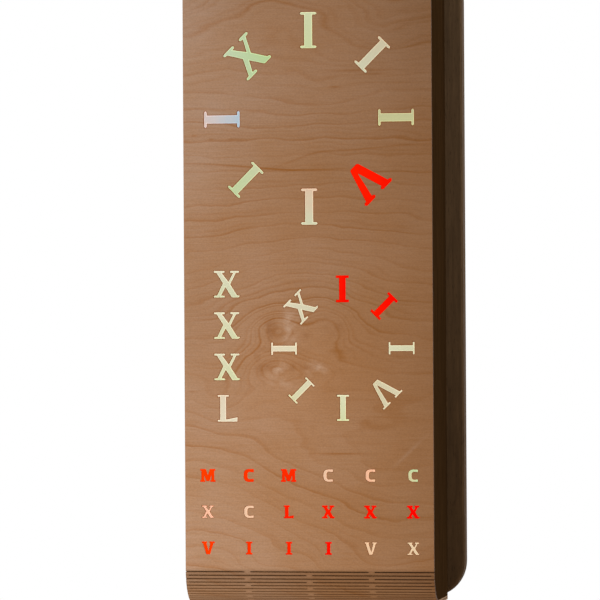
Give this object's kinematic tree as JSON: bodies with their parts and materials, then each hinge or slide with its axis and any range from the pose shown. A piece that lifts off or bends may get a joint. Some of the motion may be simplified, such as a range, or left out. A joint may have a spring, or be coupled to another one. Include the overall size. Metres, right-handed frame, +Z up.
{
  "type": "wall clock",
  "caption": "Wall clock in a tall birch hood with hinge-bent ends on a dark round-cornered housing; Roman numerals light up for hour, minute and date.",
  "frame": {"origin": "centre of the flat wall face of the rear housing", "axes": "+Z up, the display faces -Y, +X to the right as seen from the front; the wall is the plane y = 0"},
  "size_m": [0.2302, 0.096, 0.5195],
  "materials": {
    "birch_sheet": "satin oiled birch plywood",
    "dark_cheek": "dark stained plywood",
    "dark_housing": "dark stained board",
    "opal_unlit": "opal acrylic, unlit",
    "opal_lit": "opal acrylic, lit red",
    "cell_board": "black board",
    "circuit_board": "green solder mask",
    "lamp_package": "white package",
    "inner_wood": "planed softwood and plywood",
    "black_plastic": "moulded",
    "cable_jacket": "grey ribbon",
    "zinc_steel": "zinc plated",
    "contact_metal": "plated"
  },
  "bodies": {
    "case": {"backup_cell": "zinc_steel", "backup_cell_holder": "black_plastic", "board_screws": "zinc_steel", "calendar_led_board": "circuit_board", "calendar_light_box": "cell_board", "calendar_row_1_lit": "opal_lit", "calendar_row_1_unlit": "opal_unlit", "calendar_row_2_lit": "opal_lit", "calendar_row_2_unlit": "opal_unlit", "calendar_row_3_lit": "opal_lit", "calendar_row_3_unlit": "opal_unlit", "carrier_screws": "zinc_steel", "case_screws": "zinc_steel", "control_board": "circuit_board", "control_chip": "black_plastic", "dc_inlet": "black_plastic", "dc_inlet_pin": "contact_metal", "end_cleats": "inner_wood", "front_battens": "inner_wood", "front_shell": "birch_sheet", "hanger_screws": "zinc_steel", "hour_led_board": "circuit_board", "hour_light_box": "cell_board", "hour_numeral_1": "opal_unlit", "hour_numeral_2": "opal_unlit", "hour_numeral_3": "opal_unlit", "hour_numeral_4": "opal_lit", "hour_numeral_5": "opal_unlit", "hour_numeral_6": "opal_unlit", "hour_numeral_7": "opal_unlit", "hour_numeral_8": "opal_unlit", "keyhole_plates": "zinc_steel", "led_carrier": "inner_wood", "led_packages": "lamp_package", "left_cheek": "dark_cheek", "minute_led_board": "circuit_board", "minute_light_box": "cell_board", "minute_numeral_1": "opal_lit", "minute_numeral_2": "opal_lit", "minute_numeral_3": "opal_unlit", "minute_numeral_4": "opal_unlit", "minute_numeral_5": "opal_unlit", "minute_numeral_6": "opal_unlit", "minute_numeral_7": "opal_unlit", "minute_numeral_8": "opal_unlit", "push_switches": "black_plastic", "rear_battens": "inner_wood", "rear_housing": "dark_housing", "ribbon_cable": "cable_jacket", "right_cheek": "dark_cheek", "tens_led_board": "circuit_board", "tens_light_box": "cell_board", "tens_numeral_1": "opal_unlit", "tens_numeral_2": "opal_unlit", "tens_numeral_3": "opal_unlit", "tens_numeral_4": "opal_unlit"},
    "setting_button_1": {"setting_button_1": "black_plastic"},
    "setting_button_2": {"setting_button_2": "black_plastic"},
    "setting_button_3": {"setting_button_3": "black_plastic"}
  },
  "joints": [
    {"name": "setting_button_1_press", "type": "slide", "parent": "case", "child": "setting_button_1", "axis": [0, 0, 1], "range_m": [0, 0.001], "stiffness_N_per_m": 1200, "springref_m": -0.0005},
    {"name": "setting_button_2_press", "type": "slide", "parent": "case", "child": "setting_button_2", "axis": [0, 0, 1], "range_m": [0, 0.001], "stiffness_N_per_m": 1200, "springref_m": -0.0005},
    {"name": "setting_button_3_press", "type": "slide", "parent": "case", "child": "setting_button_3", "axis": [0, 0, 1], "range_m": [0, 0.001], "stiffness_N_per_m": 1200, "springref_m": -0.0005}
  ]
}
